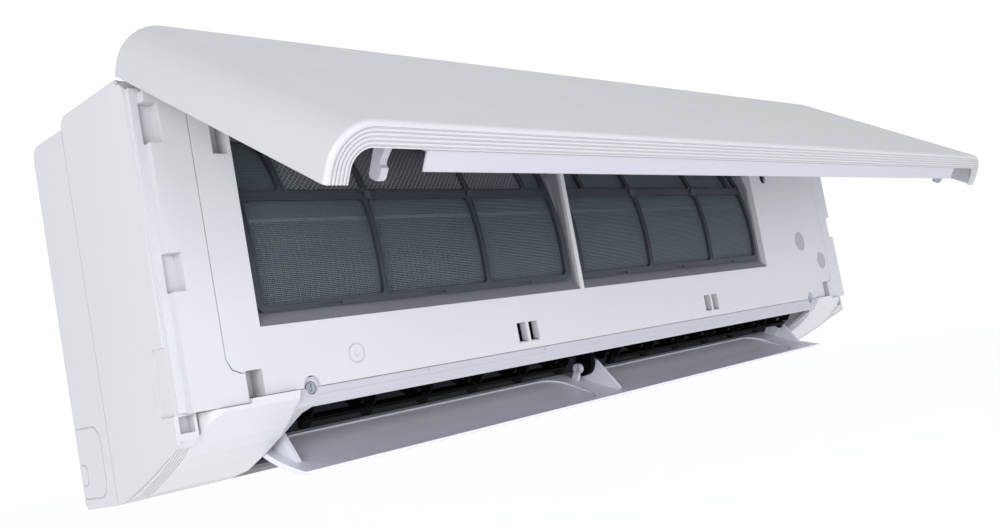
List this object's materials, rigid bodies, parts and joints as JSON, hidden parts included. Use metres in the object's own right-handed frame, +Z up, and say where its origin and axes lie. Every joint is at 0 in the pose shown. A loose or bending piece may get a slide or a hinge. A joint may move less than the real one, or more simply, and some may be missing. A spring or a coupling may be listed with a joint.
{
  "type": "mini split indoor unit",
  "caption": "Wall-hung indoor unit of a split air conditioner with a lifting front panel, slide-out dust filters, blower, swinging louver and linked vanes.",
  "frame": {"origin": "centre of the back face of the wall plate, on the wall", "axes": "+X along the unit, to the right for someone facing it; +Y into the wall; +Z up"},
  "size_m": [0.9, 0.3429, 0.2949],
  "materials": {
    "casing_white": "satin moulded plastic",
    "panel_white": "smooth satin plastic",
    "bezel_white": "satin moulded plastic",
    "louver_white": "satin moulded plastic",
    "dark_plastic": "matte moulded plastic",
    "filter_plastic": "matte moulded plastic",
    "filter_mesh": "fine woven mesh",
    "black_plastic": "matte moulded plastic",
    "foam": "expanded foam",
    "zinc_steel": "zinc coated sheet",
    "screw_steel": "plated",
    "motor_steel": "satin",
    "rubber": "matte",
    "fin_aluminium": "bare folded fins",
    "copper": "drawn copper tube",
    "brass": "machined",
    "hose_plastic": "soft hose",
    "board_green": "lacquered board",
    "window_grey": "translucent window"
  },
  "bodies": {
    "casing": {"wall_plate": "zinc_steel", "chassis": "casing_white", "front_frame": "casing_white", "top_grille": "casing_white", "face_plate": "casing_white", "outlet_bezel": "bezel_white", "bezel_screws": "screw_steel", "end_cap_left": "casing_white", "end_cap_right": "casing_white", "filter_guide": "dark_plastic", "duct_roof": "black_plastic", "drain_tray": "foam", "scroll_case": "black_plastic", "bearing_bush": "rubber", "fan_motor": "motor_steel", "motor_clamp": "zinc_steel", "fins_front": "fin_aluminium", "fins_upper": "fin_aluminium", "fins_rear": "fin_aluminium", "coil_plate_left": "zinc_steel", "coil_plate_right": "zinc_steel", "coil_tubes": "copper", "gas_pipe": "copper", "liquid_pipe": "copper", "gas_nut": "brass", "liquid_nut": "brass", "drain_hose": "hose_plastic", "control_box": "dark_plastic", "control_cover": "zinc_steel", "circuit_board": "board_green", "terminal_block": "black_plastic", "signal_board": "board_green", "signal_window": "window_grey", "louver_motor": "black_plastic"},
    "front_panel": {"front_panel": "panel_white", "panel_liner": "bezel_white", "latch_left": "bezel_white", "latch_right": "bezel_white"},
    "louver": {"louver": "louver_white"},
    "filter_left": {"filter_left": "filter_plastic", "mesh_left": "filter_mesh"},
    "filter_right": {"filter_right": "filter_plastic", "mesh_right": "filter_mesh"},
    "fan": {"blower": "black_plastic"},
    "manual_button": {"manual_button": "window_grey"},
    "link_left": {"link_left": "black_plastic"},
    "link_right": {"link_right": "black_plastic"},
    "vane_l1": {"vane_l1": "black_plastic"},
    "vane_l2": {"vane_l2": "black_plastic"},
    "vane_l3": {"vane_l3": "black_plastic"},
    "vane_l4": {"vane_l4": "black_plastic"},
    "vane_l5": {"vane_l5": "black_plastic"},
    "vane_l6": {"vane_l6": "black_plastic"},
    "vane_r1": {"vane_r1": "black_plastic"},
    "vane_r2": {"vane_r2": "black_plastic"},
    "vane_r3": {"vane_r3": "black_plastic"},
    "vane_r4": {"vane_r4": "black_plastic"},
    "vane_r5": {"vane_r5": "black_plastic"},
    "vane_r6": {"vane_r6": "black_plastic"},
    "vane_r7": {"vane_r7": "black_plastic"}
  },
  "joints": [
    {"name": "panel_hinge", "type": "hinge", "parent": "casing", "child": "front_panel", "pos_m": [0, -0.1408, 0.1207], "axis": [-1, 0, 0], "range_deg": [-58.25, 12]},
    {"name": "louver_hinge", "type": "hinge", "parent": "casing", "child": "louver", "pos_m": [0, -0.098, -0.111], "axis": [1, 0, 0], "range_deg": [-46, 12]},
    {"name": "filter_left_slide", "type": "slide", "parent": "casing", "child": "filter_left", "axis": [0, -0.7071, -0.7071], "range_m": [0, 0.09]},
    {"name": "filter_right_slide", "type": "slide", "parent": "casing", "child": "filter_right", "axis": [0, -0.7071, -0.7071], "range_m": [0, 0.09]},
    {"name": "fan_spin", "type": "hinge", "parent": "casing", "child": "fan", "pos_m": [0, -0.062, -0.036], "axis": [1, 0, 0], "continuous": true},
    {"name": "manual_button_press", "type": "slide", "parent": "casing", "child": "manual_button", "axis": [0, 1, 0], "range_m": [0, 0.0015], "stiffness_N_per_m": 400, "springref_m": -0.0005},
    {"name": "vane_l1_turn", "type": "hinge", "parent": "casing", "child": "vane_l1", "pos_m": [-0.343, -0.118, -0.0789], "axis": [0, 0.5492, -0.8357], "range_deg": [-30, 30]},
    {"name": "vane_l2_turn", "type": "hinge", "parent": "casing", "child": "vane_l2", "pos_m": [-0.2886, -0.118, -0.0789], "axis": [0, 0.5492, -0.8357], "range_deg": [-30, 30]},
    {"name": "vane_l3_turn", "type": "hinge", "parent": "casing", "child": "vane_l3", "pos_m": [-0.2342, -0.118, -0.0789], "axis": [0, 0.5492, -0.8357], "range_deg": [-30, 30]},
    {"name": "vane_l4_turn", "type": "hinge", "parent": "casing", "child": "vane_l4", "pos_m": [-0.1798, -0.118, -0.0789], "axis": [0, 0.5492, -0.8357], "range_deg": [-30, 30]},
    {"name": "vane_l5_turn", "type": "hinge", "parent": "casing", "child": "vane_l5", "pos_m": [-0.1254, -0.118, -0.0789], "axis": [0, 0.5492, -0.8357], "range_deg": [-30, 30]},
    {"name": "vane_l6_turn", "type": "hinge", "parent": "casing", "child": "vane_l6", "pos_m": [-0.071, -0.118, -0.0789], "axis": [0, 0.5492, -0.8357], "range_deg": [-30, 30]},
    {"name": "link_left_turn", "type": "hinge", "parent": "vane_l1", "child": "link_left", "pos_m": [-0.343, -0.11845, -0.10552], "axis": [0, 0.5492, -0.8357], "range_deg": [-30, 30]},
    {"name": "vane_r1_turn", "type": "hinge", "parent": "casing", "child": "vane_r1", "pos_m": [0.003, -0.118, -0.0789], "axis": [0, 0.5492, -0.8357], "range_deg": [-30, 30]},
    {"name": "vane_r2_turn", "type": "hinge", "parent": "casing", "child": "vane_r2", "pos_m": [0.0574, -0.118, -0.0789], "axis": [0, 0.5492, -0.8357], "range_deg": [-30, 30]},
    {"name": "vane_r3_turn", "type": "hinge", "parent": "casing", "child": "vane_r3", "pos_m": [0.1118, -0.118, -0.0789], "axis": [0, 0.5492, -0.8357], "range_deg": [-30, 30]},
    {"name": "vane_r4_turn", "type": "hinge", "parent": "casing", "child": "vane_r4", "pos_m": [0.1662, -0.118, -0.0789], "axis": [0, 0.5492, -0.8357], "range_deg": [-30, 30]},
    {"name": "vane_r5_turn", "type": "hinge", "parent": "casing", "child": "vane_r5", "pos_m": [0.2206, -0.118, -0.0789], "axis": [0, 0.5492, -0.8357], "range_deg": [-30, 30]},
    {"name": "vane_r6_turn", "type": "hinge", "parent": "casing", "child": "vane_r6", "pos_m": [0.275, -0.118, -0.0789], "axis": [0, 0.5492, -0.8357], "range_deg": [-30, 30]},
    {"name": "vane_r7_turn", "type": "hinge", "parent": "casing", "child": "vane_r7", "pos_m": [0.3294, -0.118, -0.0789], "axis": [0, 0.5492, -0.8357], "range_deg": [-30, 30]},
    {"name": "link_right_turn", "type": "hinge", "parent": "vane_r1", "child": "link_right", "pos_m": [0.003, -0.11845, -0.10552], "axis": [0, 0.5492, -0.8357], "range_deg": [-30, 30]}
  ],
  "couplings": [
    {"joint": "vane_l2_turn", "follows": "vane_l1_turn", "ratio": 1},
    {"joint": "vane_l3_turn", "follows": "vane_l1_turn", "ratio": 1},
    {"joint": "vane_l4_turn", "follows": "vane_l1_turn", "ratio": 1},
    {"joint": "vane_l5_turn", "follows": "vane_l1_turn", "ratio": 1},
    {"joint": "vane_l6_turn", "follows": "vane_l1_turn", "ratio": 1},
    {"joint": "link_left_turn", "follows": "vane_l1_turn", "ratio": -1},
    {"joint": "vane_r2_turn", "follows": "vane_r1_turn", "ratio": 1},
    {"joint": "vane_r3_turn", "follows": "vane_r1_turn", "ratio": 1},
    {"joint": "vane_r4_turn", "follows": "vane_r1_turn", "ratio": 1},
    {"joint": "vane_r5_turn", "follows": "vane_r1_turn", "ratio": 1},
    {"joint": "vane_r6_turn", "follows": "vane_r1_turn", "ratio": 1},
    {"joint": "vane_r7_turn", "follows": "vane_r1_turn", "ratio": 1},
    {"joint": "link_right_turn", "follows": "vane_r1_turn", "ratio": -1}
  ]
}
